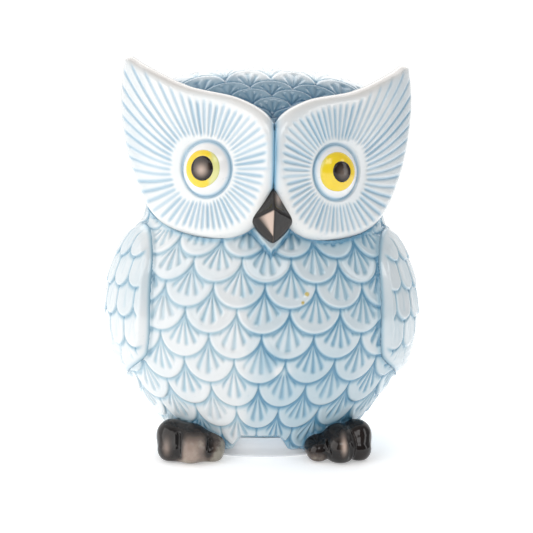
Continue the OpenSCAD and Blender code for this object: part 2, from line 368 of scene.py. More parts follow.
def noise(nodes, links, scale, detail=3.0, roughness=0.5):
    coords = nodes.new("ShaderNodeTexCoord")
    tex = nodes.new("ShaderNodeTexNoise")
    tex.inputs["Scale"].default_value = scale
    tex.inputs["Detail"].default_value = detail
    tex.inputs["Roughness"].default_value = roughness
    links.new(coords.outputs["Object"], tex.inputs["Vector"])
    return tex.outputs["Fac"]


def ramp(nodes, links, factor, stops, mode="LINEAR"):
    node = nodes.new("ShaderNodeValToRGB")
    node.color_ramp.interpolation = mode
    while len(node.color_ramp.elements) < len(stops):
        node.color_ramp.elements.new(0.5)
    for element, (place, color) in zip(node.color_ramp.elements, stops):
        element.position = place
        element.color = (*color, 1)
    links.new(factor, node.inputs["Fac"])
    return node.outputs["Color"]


def mix_color(nodes, links, factor, a, b, mode="MIX"):
    node = nodes.new("ShaderNodeMix")
    node.data_type = "RGBA"
    node.blend_type = mode
    for value, socket in ((factor, node.inputs[0]), (a, node.inputs[6]), (b, node.inputs[7])):
        feed(links, value, socket)
    return node.outputs[2]


def maths(nodes, links, kind, *values, clamp=False):
    node = nodes.new("ShaderNodeMath")
    node.operation = kind
    node.use_clamp = clamp
    for value, socket in zip(values, node.inputs):
        feed(links, value, socket)
    return node.outputs[0]


def attribute(nodes, name):
    node = nodes.new("ShaderNodeAttribute")
    node.attribute_name = name
    return node.outputs["Fac"]


def glossy(bsdf, roughness, coat=0.7, ior=1.48):
    bsdf.inputs["IOR"].default_value = ior
    bsdf.inputs["Coat Weight"].default_value = coat
    bsdf.inputs["Coat Roughness"].default_value = 0.03
    bsdf.inputs["Coat IOR"].default_value = 1.5
    bsdf.inputs["Roughness"].default_value = roughness


def surface_bump(nodes, links, bsdf, scale, distance):
    """Faint orange-peel waves of fired glaze."""
    bump = nodes.new("ShaderNodeBump")
    bump.inputs["Strength"].default_value = 0.5
    bump.inputs["Distance"].default_value = distance
    links.new(noise(nodes, links, scale, detail=2.0), bump.inputs["Height"])
    links.new(bump.outputs["Normal"], bsdf.inputs["Normal"])


def glaze(name, thin, middle, thick):
    """Runny glaze: pale where it is thin on ridges, and blue where it pools."""
    mat, nodes, links, bsdf = node_material(name)
    drift = noise(nodes, links, 55, detail=4.0)
    shade = maths(nodes, links, "MULTIPLY_ADD", drift, 0.30, -0.14)
    depth = maths(nodes, links, "ADD", attribute(nodes, "pool"), shade, clamp=True)
    color = ramp(nodes, links, depth, [(0.0, thin), (0.42, middle), (1.0, thick)])
    # painted reflection: darkens the front of the crown, standing in for a darker surround
    # reflected in the glaze
    color = mix_color(nodes, links, attribute(nodes, "dark"), color, (0.33, 0.46, 0.56),
                      "MULTIPLY")
    # painted shade: a beige-brown edge along the top of each face disc's rim
    color = mix_color(nodes, links, attribute(nodes, "painted_rim_shade"), color, (0.46, 0.42, 0.38))
    color = mix_color(nodes, links, attribute(nodes, "speck"), color, (0.50, 0.40, 0.10))
    specks = noise(nodes, links, 900, detail=1.0)
    dots = ramp(nodes, links, specks, [(0.0, (0, 0, 0)), (0.735, (0, 0, 0)), (0.75, (1, 1, 1))])
    fleck = maths(nodes, links, "MULTIPLY", dots, 0.2)
    color = mix_color(nodes, links, fleck, color, (0.35, 0.45, 0.52))
    links.new(color, bsdf.inputs["Base Color"])
    glossy(bsdf, 0.14)
    surface_bump(nodes, links, bsdf, 260, 0.00012)
    return mat


BODY_GLAZE = glaze("blue_body_glaze", (0.71, 0.74, 0.75), (0.37, 0.52, 0.60), (0.10, 0.27, 0.41))
DISC_GLAZE = glaze("pale_disc_glaze", (0.76, 0.77, 0.76), (0.47, 0.59, 0.67), (0.15, 0.34, 0.49))
BASE_GLAZE = glaze("base_glaze", (0.79, 0.81, 0.83), (0.58, 0.67, 0.75), (0.20, 0.40, 0.56))
WHITE_EYE = glaze("white_eye_glaze", (0.82, 0.82, 0.81), (0.58, 0.68, 0.75), (0.14, 0.35, 0.50))


def brown_glaze():
    """Dark brown glaze that breaks to a grey beige where it is brushed thin."""
    mat, nodes, links, bsdf = node_material("brown_glaze")
    drift = noise(nodes, links, 160, detail=5.0, roughness=0.6)
    mixed = maths(nodes, links, "MULTIPLY", drift, attribute(nodes, "thin"))
    mixed = maths(nodes, links, "MULTIPLY_ADD", mixed, 1.6, -0.12, clamp=True)
    color = ramp(nodes, links, mixed,
                 [(0.0, (0.004, 0.003, 0.003)), (0.35, (0.022, 0.014, 0.011)),
                  (0.7, (0.12, 0.09, 0.075)), (1.0, (0.34, 0.31, 0.25))])
    streaks = maths(nodes, links, "MULTIPLY", noise(nodes, links, 420), 0.35)
    color = mix_color(nodes, links, streaks, color, (0.018, 0.012, 0.010))
    # pinkish patches: painted reflections and highlights, partly thin glaze on the beak and on one
    # foot
    color = mix_color(nodes, links, attribute(nodes, "pink_thin_glaze_and_reflection"), color, (0.62, 0.48, 0.40))
    links.new(color, bsdf.inputs["Base Color"])
    glossy(bsdf, 0.10, coat=0.2, ior=1.4)
    surface_bump(nodes, links, bsdf, 330, 0.0003)
    return mat


def yellow_glaze():
    """Hand painted yellow, pale towards the inner corner of the eye: partly thin paint, partly
    painted glare.
    """
    mat, nodes, links, bsdf = node_material("yellow_glaze")
    drift = noise(nodes, links, 300, detail=4.0)
    level = maths(nodes, links, "MULTIPLY_ADD", drift, 0.5, attribute(nodes, "thin"))
    color = ramp(nodes, links, level, [(0.15, (0.84, 0.58, 0.006)), (0.55, (0.82, 0.62, 0.02)),
                                       (1.0, (0.70, 0.70, 0.28))])
    links.new(color, bsdf.inputs["Base Color"])
    glossy(bsdf, 0.14)
    surface_bump(nodes, links, bsdf, 420, 0.0002)
    return mat


def stopper_rubber():
    mat, nodes, links, bsdf = node_material("stopper_rubber")
    color = ramp(nodes, links, noise(nodes, links, 120, detail=5.0),
                 [(0.2, (0.60, 0.59, 0.54)), (0.8, (0.72, 0.71, 0.66))])
    links.new(color, bsdf.inputs["Base Color"])
    bsdf.inputs["Roughness"].default_value = 0.55
    surface_bump(nodes, links, bsdf, 1500, 0.00004)
    return mat


BROWN = brown_glaze()
YELLOW = yellow_glaze()
RUBBER = stopper_rubber()


def finish_piece(obj, node, material, body="casting"):
    face_outwards(obj)
    obj.data.materials.append(material)
    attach(obj, body)
    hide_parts(node)


# ---------------------------------------------------------------- camera
# The camera stands nearly in front of the owl, a little to its right side
CAM_DISTANCE = 330.0
CAM_AZIMUTH = math.radians(3.9)
CAM_HEIGHT = 90.8
CAM_PITCH = math.radians(3.79)
CAM_ROLL = math.radians(1.15)
CAM_SIDE_AIM = math.radians(0.35)
CAM_PIVOT_Y = 6.0
CAM_LENS = 54.2


def make_camera():
    data = bpy.data.cameras.new("camera")
    data.sensor_width = 36
    data.lens = CAM_LENS
    data.clip_start = 0.01
    cam = bpy.data.objects.new("camera", data)
    bpy.context.scene.collection.objects.link(cam)
    place = Vector((-CAM_DISTANCE * math.sin(CAM_AZIMUTH),
                    CAM_PIVOT_Y - CAM_DISTANCE * math.cos(CAM_AZIMUTH), CAM_HEIGHT)) * MM
    cam.matrix_world = (Matrix.Translation(place)
                        @ Matrix.Rotation(-CAM_AZIMUTH - CAM_SIDE_AIM, 4, "Z")
                        @ Matrix.Rotation(math.pi / 2 - CAM_PITCH, 4, "X")
                        @ Matrix.Rotation(CAM_ROLL, 4, "Z"))
    bpy.context.scene.camera = cam


# ---------------------------------------------------------------- face discs
EYE_X, EYE_Y, EYE_Z = 23.5, -37.5, 106.0
DISC_TURN = math.radians(29)
DISC_OUTLINE = np.array([
    [41.9, 40], [41.4, 23], [34.9, 0], [21.9, -18.5], [-0.1, -25], [-18.1, -19.5],
    [-26.6, 0], [-24.1, 16], [-11.1, 24.8], [10.9, 30.5], [30.9, 39.5], [39.4, 43.7],
])
RIM_ROUND = 4.2
GROOVES = 54
EYE_RING = 9.9     # radius of the groove round the eyeball


def disc_frame(u, v, h, side):
    """Point at u outwards and v upwards on a face disc, h in front of its plane."""
    x = EYE_X + u * math.cos(DISC_TURN) + h * math.sin(DISC_TURN)
    y = EYE_Y + u * math.sin(DISC_TURN) - h * math.cos(DISC_TURN)
    return np.stack([side * x, y, EYE_Z + v], axis=-1)


def disc_sag(u, v):
    return 0.004 * np.maximum(u - 7, 0) ** 2 + 0.003 * np.maximum(v - 12, 0) ** 2


def disc_depth(u):
    return np.where(u < 0, 6.4 - 0.33 * u, 6.4 + 0.05 * u)


def bend(u):
    """How far a groove has bent upwards at u, towards the ear tip."""
    return 0.0075 * np.maximum(u, 0) ** 2


DISC_LOOP = catmull(DISC_OUTLINE, np.arange(240) / 240 * len(DISC_OUTLINE), closed=True)


def disc_distance(p, side):
    """Distance from the wall and the back of a face disc, negative inside it."""
    v = p[..., 2] - EYE_Z
    x = side * p[..., 0] - EYE_X
    sag = disc_sag(x, v)
    u = (x + (sag + RIM_ROUND) * math.sin(DISC_TURN)) / math.cos(DISC_TURN)
    beside = outside(u, v, DISC_LOOP[::3], (0, 0))
    back = EYE_Y + u * math.sin(DISC_TURN) + sag * math.cos(DISC_TURN) + disc_depth(u)
    return np.maximum(beside, (p[..., 1] - back) * math.cos(DISC_TURN))


def disc_distances(p):
    return np.minimum(disc_distance(p, 1), disc_distance(p, -1))


def tuck_under_disc(p, side):
    """Moves points that would come through the front of a face disc to well behind it."""
    x, y = side * p[..., 0] - EYE_X, p[..., 1] - EYE_Y
    u = x * math.cos(DISC_TURN) + y * math.sin(DISC_TURN)
    h = x * math.sin(DISC_TURN) - y * math.cos(DISC_TURN)
    v = p[..., 2] - EYE_Z
    inset = -outside(u, v, DISC_LOOP[::3], (0, 0))
    deepest = -disc_sag(u, v) - 2.0 - 2.2 * smoothstep(4, 0.5, inset)
    excess = np.maximum(h - deepest, 0) * smoothstep(0.3, 1.6, inset)
    way = np.array([side * math.sin(DISC_TURN), -math.cos(DISC_TURN), 0])
    return p - excess[..., None] * way


def make_disc(prefix, side):
    cols, rows = GROOVES * 12, 76
    turn = np.linspace(-math.pi, math.pi, cols, endpoint=False)
    straight = np.stack([DISC_LOOP[:, 0], DISC_LOOP[:, 1] - bend(DISC_LOOP[:, 0])], axis=-1)
    reach = outline_reach(turn, straight, np.zeros(2))
    share = np.linspace(0, 1, rows + 1)[1:] ** 0.9
    radius = share[:, None] * reach[None, :]
    u = radius * np.cos(turn)
    v = radius * np.sin(turn) + bend(u)
    inset = outline_distance(u, v, DISC_LOOP)
    inset[-1] = 0
    drop = RIM_ROUND - np.sqrt(np.maximum(
        RIM_ROUND ** 2 - np.maximum(RIM_ROUND - inset, 0) ** 2, 0))

    # grooves run out from the eye ring and die away before the rim
    count = turn[None, :] / TAU * GROOVES
    number = np.round(count)
    off = np.abs(count - number)
    luck = chance(number, side + 3)
    luck2 = chance(number, side + 9)
    gap = TAU * radius / GROOVES
    line = bell(off * gap, np.minimum(0.62, 0.30 * gap))
    outer = smoothstep(0.1, 0.9, np.cos(turn))[None, :]
    upper = smoothstep(0.3, 0.8, np.sin(turn))[None, :] * (1 - outer)
    start = EYE_RING + 0.5 + 2.8 * outer + 0.9 * luck
    finish = 1.6 + 1.2 * luck2 + 0.8 * upper - 1.4 * outer
    length = smoothstep(start, start + 2.2, radius) * smoothstep(finish, finish + 2.6, inset)
    groove = line * length * (0.65 + 0.5 * luck2)
    ring = bell(radius - EYE_RING, 0.55)
    dish = bell(radius, 26) * 0.5
    plane = np.stack([u, v, 0 * u], axis=-1)
    height = -disc_sag(u, v) - drop - 0.42 * groove - 0.8 * ring - dish
    height += 0.12 * wobble(plane, 16, 2 * side)
    pool = 0.62 * groove + 0.72 * ring
    # painted shade: the last term makes the disc on the owl's left side, away from the left
    # softbox, a little bluer
    pool += 0.04 * (1 + wobble(plane, 22, side)) * smoothstep(2, 7, inset) + 0.04 * (side > 0)
    pool += 0.08 * smoothstep(14, 34, u)
    x = EYE_X + u * math.cos(DISC_TURN) + height * math.sin(DISC_TURN)
    pool += 0.85 * bell(x, 0.8) + 0.35 * bell(x, 2.2)
    # painted shade: beige-brown along the top of the rim
    painted_rim_shade = 0.9 * smoothstep(3.2, 0.2, inset) * smoothstep(10, 32, v)

    front = disc_frame(u, v, height, side)
    # side wall and back
    u1, v1 = u[-1], v[-1]
    edge = disc_frame(u1, v1, height[-1], side)
    thick = disc_depth(u1) - drop[-1] * math.cos(DISC_TURN)
    wall = np.array([edge + np.stack([0 * u1, t * thick, 0 * u1], axis=-1)
                     for t in np.linspace(0.08, 1, 10)])
    back_share = np.linspace(1, 0, 9)[1:-1, None]
    ub, vb = u1 * back_share, v1 * back_share
    back = disc_frame(ub, vb, -disc_sag(ub, vb), side)
    back[..., 1] += disc_depth(ub)
    rings = np.concatenate([front, wall, back])
    rings[..., 0] = side * np.maximum(side * rings[..., 0], 0.03)
    extra = len(wall) + len(back)
    wall_pool = np.linspace(0.02, 0.7, len(wall))[:, None] ** 2 * np.ones(cols)
    marks = {"pool": np.concatenate([pool, wall_pool, np.zeros((len(back), cols))]),
             "painted_rim_shade": np.concatenate([painted_rim_shade, np.tile(painted_rim_shade[-1:] * 0.6, (extra, 1))])}
    pole = disc_frame(0.0, 0.0, height[0].mean(), side)
    back_pole = disc_frame(0.0, 0.0, 0.0, side) + [0, disc_depth(0.0), 0]
    disc = capped(prefix + "_face_disc", rings, marks, pole, back_pole)
    finish_piece(disc, prefix + "_face_disc", DISC_GLAZE)


# ---------------------------------------------------------------- eyes
EYE_D = 18.0
EYE_RISE = 4.0
EYE_R = ((EYE_D / 2) ** 2 + EYE_RISE ** 2) / (2 * EYE_RISE)


def eye_dome(name, side, radius, lift, low, edge_wobble, marks_of, shift=0.0, seed=0.0):
    """Dome on the eyeball: lift above the ball, out to a radius, down to a closed back."""
    cols, rows = 128, 40
    turn = np.arange(cols) / cols * TAU
    uneven = (np.sin(2 * turn + seed) + 0.6 * np.sin(3 * turn + 2 * seed)
              + 0.4 * np.sin(5 * turn + seed))
    limit = radius * (1 + edge_wobble * uneven)
    share = np.linspace(0, 1, rows + 1)[1:]
    r = share[:, None] * limit[None, :]
    edge = np.minimum(1, (1 - share[:, None]) * radius / 0.7)
    u = r * np.cos(turn) + shift
    v = r * np.sin(turn)
    ball = EYE_RISE - EYE_R + np.sqrt(np.maximum(EYE_R ** 2 - u ** 2 - v ** 2, 1))
    top = ball + lift * np.sqrt(np.maximum(1 - (1 - edge) ** 2, 0)) - (0.05 if lift else 0)
    front = disc_frame(u, v, top, side)
    skirt = disc_frame(u[-1:], v[-1:], ball[-1:] - low, side)
    rings = np.concatenate([front, skirt])
    marks = {k: np.concatenate([m, m[-1:]]) for k, m in marks_of(u, v, r, limit).items()}
    pole = disc_frame(shift, 0.0, top[0].mean(), side)
    base = disc_frame(shift, 0.0, ball[-1].mean() - low, side)
    return capped(name, rings, marks, pole, base)


def make_eye(prefix, side, iris_shift, iris_r, pupil_shift, pupil_r, fade, seed):
    """Eyeball with its hand painted iris and pupil; fade is how pale the iris's inner side is,
    partly thin paint and partly painted glare, and how strong the pupil's painted reflection is.
    """
    def ball_marks(u, v, r, limit):
        return {"pool": 0.75 * smoothstep(8.6, 9.7, r) + 0.02}

    def iris_marks(u, v, r, limit):
        # paler towards the inner side: partly thin paint, partly painted glare
        inner = smoothstep(0.5, 6.5, -u) * fade
        rim = 0.25 * smoothstep(0.90, 1.0, r / limit)
        return {"thin": inner + rim + 0.10 * wobble(np.stack([u, v, 0 * u], -1), 3, seed)}

    def pupil_marks(u, v, r, limit):
        middle = smoothstep(1.0, 0.6, r / limit)
        # painted reflection of a warm light on the pupil
        pupil_reflection = bell(np.hypot(u + 0.9, v + 0.6), 2.0) * middle * fade
        return {"thin": 0.10 + 0.25 * middle, "pink_thin_glaze_and_reflection": 0.75 * pupil_reflection}

    ball = eye_dome(prefix + "_eye", side, 9.7, 0, 3.0, 0.0, ball_marks)
    finish_piece(ball, prefix + "_eye", WHITE_EYE)
    iris = eye_dome(prefix + "_iris", side, iris_r, 0.38, 0.25, 0.014, iris_marks,
                    iris_shift, seed)
    finish_piece(iris, prefix + "_iris", YELLOW)
    pupil = eye_dome(prefix + "_pupil", side, pupil_r, 0.8, 0.1, 0.012, pupil_marks,
                     pupil_shift, seed + 2)
    finish_piece(pupil, prefix + "_pupil", BROWN)


# ---------------------------------------------------------------- lumps
def star_surface(centre, solid, cols, rows, far=60.0):
    """Grid of points where a solid's distance function is zero, seen from its centre."""
    turn = np.arange(cols) / cols * TAU
    tilt = (np.arange(rows) + 0.5) / rows * math.pi
    d = np.stack([np.sin(tilt)[:, None] * np.cos(turn), np.sin(tilt)[:, None] * np.sin(turn),
                  np.cos(tilt)[:, None] * np.ones(cols)], axis=-1)
    near = np.zeros((rows, cols))
    away = np.full((rows, cols), far)
    centre = np.asarray(centre, float)
    for _ in range(22):
        mid = (near + away) / 2
        inside = solid(centre + d * mid[..., None]) < 0
        near = np.where(inside, mid, near)
        away = np.where(inside, away, mid)
    return centre + d * near[..., None]


def soft_min(a, b, k):
    h = np.maximum(k - np.abs(a - b), 0) / k
    return np.minimum(a, b) - h * h * k / 4


def soft_max(a, b, k):
    return -soft_min(-a, -b, k)


def rod(p, a, b, ra, rb):
    """Distance from a rod with round ends of radius ra at a and rb at b."""
    a, b = np.asarray(a, float), np.asarray(b, float)
    d = b - a
    t = np.clip(((p - a) @ d) / (d @ d), 0, 1)
    return np.linalg.norm(p - a - t[..., None] * d, axis=-1) - (ra + (rb - ra) * t)


def lump(name, grid, marks):
    """Closed mesh of rings of points, with a pole in the middle of each end ring."""
    return capped(name, grid, marks, grid[0].mean(axis=0), grid[-1].mean(axis=0))


# ---------------------------------------------------------------- feet

# Place across, width, reach to the front and height of each toe, from the outer one inwards
TOES = [(34.5, 10.0, 38.5, 14.0), (27.2, 12.0, 42.0, 13.2), (19.4, 8.5, 39.0, 9.0)]
# Each foot's grooves between its toes, as places across it and their top heights, and how
# far its toes run together
FOOT_GAPS = {1: [(30.9, 12.6), (22.6, 8.2)], -1: [(31.7, 10.5), (20.6, 8.6)]}
FOOT_SOFT = {1: 1.0, -1: 4.0}


def toe_gaps(q, side):
    """Distance from the grooves cut between the toes."""
    low = 3.5 if side < 0 else 0.5
    cuts = []
    for x, top in FOOT_GAPS[side]:
        corner = (x, -40.3, top - 3.5)
        cuts.append(rod(q, (x, -40.6, low), corner, 0.7, 0.7))
        cuts.append(rod(q, corner, (x, -37.0, top), 0.7, 0.4))
    return np.minimum.reduce(cuts)


def foot_solid(p, side):
    q = p * np.array([side, 1, 1])
    total = None
    for x, w, reach, h in TOES:
        r = w / 2
        toe = soft_min(rod(q, (x, -reach + r, r * 0.9), (x, -reach + r + 3, h - r), r, r),
                       rod(q, (x, -reach + r + 3, h - r), (x, -reach + 14, r), r, r), 2)
        total = toe if total is None else soft_min(total, toe, FOOT_SOFT[side])
    total = soft_min(total, rod(q, (33, -29, 7), (21, -29, 4.5), 5.5, 3.6), 3)
    total = soft_max(total, -toe_gaps(q, side), 1.0)
    return soft_max(total, 0.05 - q[..., 2], 1.2)


def make_foot(prefix, side):
    centre = (side * 27.5, -33.0, 5.5)
    grid = star_surface(centre, lambda p: foot_solid(p, side), 240, 140)
    q = grid * np.array([side, 1, 1])
    x, z = q[..., 0], q[..., 2]
    gaps = toe_gaps(q, side)
    if side < 0:
        # this foot's paler middle is partly thin glaze and partly a painted highlight; the spot on
        # the outer toe is a painted highlight
        middle = smoothstep(32.5, 29.5, x + 0.3 * (z - 5)) * smoothstep(12, 7, z)
        thin = 0.30 + 0.75 * middle + 0.25 * smoothstep(20.8, 19.8, x)
        pink_thin_glaze_and_reflection = 0.50 * middle * bell(x - 27.0, 4.5) * smoothstep(0.5, 3, z)
        pink_thin_glaze_and_reflection += 0.35 * bell(x - 36.0, 1.2) * bell(z - 6, 2.5)
    else:
        thin = 0.22 + 0.6 * smoothstep(6, 2, z) * smoothstep(24, 20, x)
        # painted highlight on the middle toe
        pink_thin_glaze_and_reflection = 0.9 * bell(x - 28.0, 1.0) * bell(z - 7.5, 2.6)
    thin = thin + 0.30 * wobble(grid, 9, 3 + side) - 0.9 * bell(gaps, 1.1)
    pink_thin_glaze_and_reflection = pink_thin_glaze_and_reflection * (1 - bell(gaps, 1.0)) * (q[..., 1] < -34)
    foot = lump(prefix + "_foot", grid, {"thin": np.clip(thin, 0, 1.3), "pink_thin_glaze_and_reflection": pink_thin_glaze_and_reflection})
    finish_piece(foot, prefix + "_foot", BROWN)


# ---------------------------------------------------------------- beak
BEAK_H, BEAK_W, BEAK_Z = 19.0, 15.0, 80.5


def make_beak():
    front = HALF_D
    wide = BEAK_Z + 0.44 * BEAK_H
    apex = np.array([0, -front, wide + 3.5])
    top = np.array([0, -front + 5.5, BEAK_Z + BEAK_H])
    tip = np.array([0, -front + 3.6, BEAK_Z])
    left = np.array([BEAK_W / 2, -front + 8, wide])
    right = left * [-1, 1, 1]

    def plane(a, b, c):
        n = np.cross(b - a, c - a)
        n = n / np.linalg.norm(n)
        if n[1] > 0:
            n = -n
        return a, n
    planes = [plane(apex, top, left), plane(apex, top, right),
              plane(apex, tip, left), plane(apex, tip, right)]
    middle = np.array([0, -front + 10, wide + 1])

    def solid(p):
        total = None
        for a, n in planes:
            d = (p - a) @ n
            total = d if total is None else soft_max(total, d, 0.9)
        # seen from the front it is a diamond with bulging sides
        rise = p[..., 2] - wide
        part = np.where(rise > 0, rise / (top[2] - wide), -rise / (wide - tip[2]))
        bulge = (np.abs(p[..., 0] / left[0]) ** 1.4 + part ** 1.4) ** (1 / 1.4) - 1
        total = soft_max(total, 5.5 * bulge, 1.0)
        return soft_max(total, p[..., 1] + front - 19, 1.0)
    grid = star_surface(middle, solid, 200, 120)
    x, z = grid[..., 0], grid[..., 2]
    thin = 0.30 * smoothstep(wide + 2, BEAK_Z + 2, z) + 0.12 * wobble(grid, 6, 1)
    # pinkish on two facets: on the lower-left one partly thin glaze showing the clay and partly a
    # painted reflection, and the spot near the top of the right one a painted highlight
    reach = 5.8 * np.clip((z - wide + 6) / 6.5, 0.02, 1)
    low = smoothstep(0.1, -0.3, x) * smoothstep(-1.0, -0.35, x / reach) \
        * smoothstep(0.2, -0.5, z - wide - 3.2 - 0.55 * x)
    beak_highlight = bell(np.hypot((x - 1.7) / 1.0, (z - 96) / 2.2), 1.0)
    beak = lump("beak", grid, {"thin": np.clip(thin, 0, 1),
                               "pink_thin_glaze_and_reflection": np.clip(0.9 * low + 0.55 * beak_highlight, 0, 1)})
    finish_piece(beak, "beak", BROWN)


# ---------------------------------------------------------------- ear tufts
def tuft_solid(p):
    q = np.abs(p) * [1, 0, 0] + p * [0, 1, 1]
    tip = np.array([50.2, -10, OWL_H - 7])
    side = np.array([46.5, -7.5, OWL_H - 24])
    root = np.array([37, 7, OWL_H - 18])
    d = rod(q, tip, side, 3.0, 5.5)
    d = soft_min(d, rod(q, tip, root, 3.0, 8.0), 6)
    return soft_min(d, rod(q, side, root, 5.5, 8.0), 6)


def make_tuft(prefix, side):
    centre = (side * 44.0, -3.0, OWL_H - 17)
    grid = star_surface(centre, tuft_solid, 120, 90)
    marks = {"pool": 0.12 + 0.1 * wobble(grid, 12, side)}
    tuft = lump(prefix + "_ear_tuft", grid, marks)
    finish_piece(tuft, prefix + "_ear_tuft", DISC_GLAZE)


# ---------------------------------------------------------------- pads laid on the skin
PAD_BACK = -1.5    # how far out a pad's back lies, so below the skin


def raised_point(angle_deg, z, out, side=1):
    """Point on the body at an outline angle and height, moved straight outwards."""
    a = np.radians(angle_deg)
    p = skin_point(a, station_at(z))
    p = p + out[..., None] * np.stack([np.cos(a), np.sin(a), 0 * a], axis=-1)
    return p * np.array([side, 1, 1])


def nested(loop, centre, share):
    """Angles and heights of copies of an outline, drawn in to a centre by each share."""
    grid = centre + (loop - centre)[None] * share[:, None, None]
    return grid[..., 0], grid[..., 1]


def make_pad(name, loop, centre, height, pool, share, side=1):
    """Pad inside an outline on the skin, with its relief in front and a plain back."""
    front = raised_point(*nested(loop, centre, share), height, side)
    angle, z = nested(loop, centre, np.linspace(1, 0, 7)[:-1])
    back = raised_point(angle, z, np.full(z.shape, PAD_BACK), side)
    marks = {"pool": np.concatenate([pool, np.zeros(z.shape)])}
    pole = raised_point(*centre, height[0].mean(), side)
    under = raised_point(*centre, np.array(PAD_BACK), side)
    pad = capped(name, np.concatenate([front, back]), marks, pole, under)
    finish_piece(pad, name, BODY_GLAZE)


# ---------------------------------------------------------------- wings
# Outline angle in degrees, from the owl's left (0) to its back (90), and height
WING_OUTLINE = np.array([
    [43, 21], [44, 36], [30, 58], [10, 77], [-13, 86], [-33, 84], [-45, 75],
    [-49, 58], [-48, 43], [-41, 36], [-14, 28], [20, 22],
])
WING_CENTRE = np.array([0.0, 52.0])
WING_RELIEF = 3.5
RIGHT_WING_BACK = 1.8    # degrees
LEADING_EDGE = -48.5     # degrees
COVERT_W, COVERT_PITCH = 9.8, 10.9
SHOULDER_Z = 84.0
FLIGHT_SPREAD = 7.5      # degrees from one flight feather to the next


def wing_lead(a, side):
    """Outline angle as the mould cast it: the right wing starts a little further back."""
    return a + (side < 0) * RIGHT_WING_BACK * smoothstep(-20, -45, a)


def wing_loop(count, side):
    """Outline of a wing: outline angle in degrees and height."""
    loop = catmull(WING_OUTLINE, np.arange(count) / count * len(WING_OUTLINE), closed=True)
    return np.stack([wing_lead(loop[:, 0], side), loop[:, 1]], axis=-1)


def wing_distance(share, z, side):
    """Distance from a wing's outline over its side of the skin, negative under the wing."""
    loop = wing_loop(96, side)
    rim = np.stack([share_of(np.radians(loop[:, 0])) * GIRTH, loop[:, 1]], axis=-1)
    centre = (share_of(np.radians(WING_CENTRE[0])) * GIRTH, WING_CENTRE[1])
    return np.where(share * side > 0, outside(np.abs(share) * GIRTH, z, rim, centre), 99.0)


def make_wing(prefix, side):
    cols, rows = 420, 96
    loop = wing_loop(cols, side)
    share = np.linspace(0, 1, rows + 1)[1:] ** 0.9
    a, z = nested(loop, WING_CENTRE, share)
    across = share_of(np.radians(a)) * GIRTH
    rim = share_of(np.radians(loop[:, 0])) * GIRTH
    inset = outline_distance(across, z, np.stack([rim, loop[:, 1]], axis=-1)[::3])
    inset[-1] = 0
    lead = share_of(np.radians(wing_lead(LEADING_EDGE, side))) * GIRTH
    behind = across - lead

    edge = np.sqrt(np.maximum(1 - np.maximum(1 - inset / 3.6, 0) ** 2, 0))
    body = (WING_RELIEF - 0.5) * edge - 0.5
    # smooth along the leading edge, then covert feathers, then long flight feathers
    band = smoothstep(4.4, 3.0, behind + 0.5 * np.maximum(46 - z, 0))
    small, small_pool, _, _ = scales((behind - 5.5) / COVERT_W + 0.5, z - 74, COVERT_W,
                                     COVERT_PITCH, 11, fan=0.22, lift=0.8)
    long = smoothstep(-2.5, 2.5, (behind - 20) * 0.55 - (z - 44))
    # the flight feathers spread from the shoulder
    away = np.hypot(behind + 4, SHOULDER_Z - z)
    lane = np.degrees(np.arctan2(SHOULDER_Z - z, behind + 4)) / FLIGHT_SPREAD
    step = lane - np.floor(lane)
    gap = np.radians(FLIGHT_SPREAD) * away
    seam = bell(np.minimum(step, 1 - step) * gap, 0.55)
    long_height = 0.6 * (1 - step) - 0.35 * seam + 0.07 * np.sin(away * 1.9 + 4 * step)
    feather = small * (1 - long) + long_height * long
    feather_pool = small_pool * 0.8 * (1 - long) + 0.7 * seam * long
    inside = smoothstep(1.0, 3.4, inset)
    height = body + (feather * (1 - band) + 0.7 * band) * inside
    pool = feather_pool * (1 - band) * inside + 0.75 * bell(inset, 0.7)
    pool += 0.06 * (1 + wobble(np.stack([across, z, 0 * z], -1), 18, side))
    # painted shade: the last term makes the wing on the owl's left side, away from the left
    # softbox, a little bluer
    pool += 0.14 * smoothstep(-35, -5, a) + 0.06 * (side > 0)
    make_pad(prefix + "_wing", loop, WING_CENTRE, height, pool, share, side)


# ---------------------------------------------------------------- tail
TAIL_TOP = 50.0
TAIL_OUTLINE = np.array([
    [114, 0], [90, -1], [66, 0], [66, 12], [71, 28], [78, 42], [90, TAIL_TOP],
    [102, 42], [109, 28], [114, 12],
])
TAIL_CENTRE = np.array([90.0, 20.0])
TAIL_MM_PER_DEGREE = 0.78
TAIL_LANE = 8.0    # degrees from one tail feather to the next


def tail_loop(count):
    """Outline of the tail: outline angle in degrees and height."""
    return catmull(TAIL_OUTLINE, np.arange(count) / count * len(TAIL_OUTLINE), closed=True)


def tail_distance(angle, z):
    """Distance from the tail's outline over the skin, negative under the tail."""
    scale = np.array([TAIL_MM_PER_DEGREE, 1])
    return outside(np.degrees(angle) * TAIL_MM_PER_DEGREE, z, tail_loop(80) * scale,
                   TAIL_CENTRE * scale)


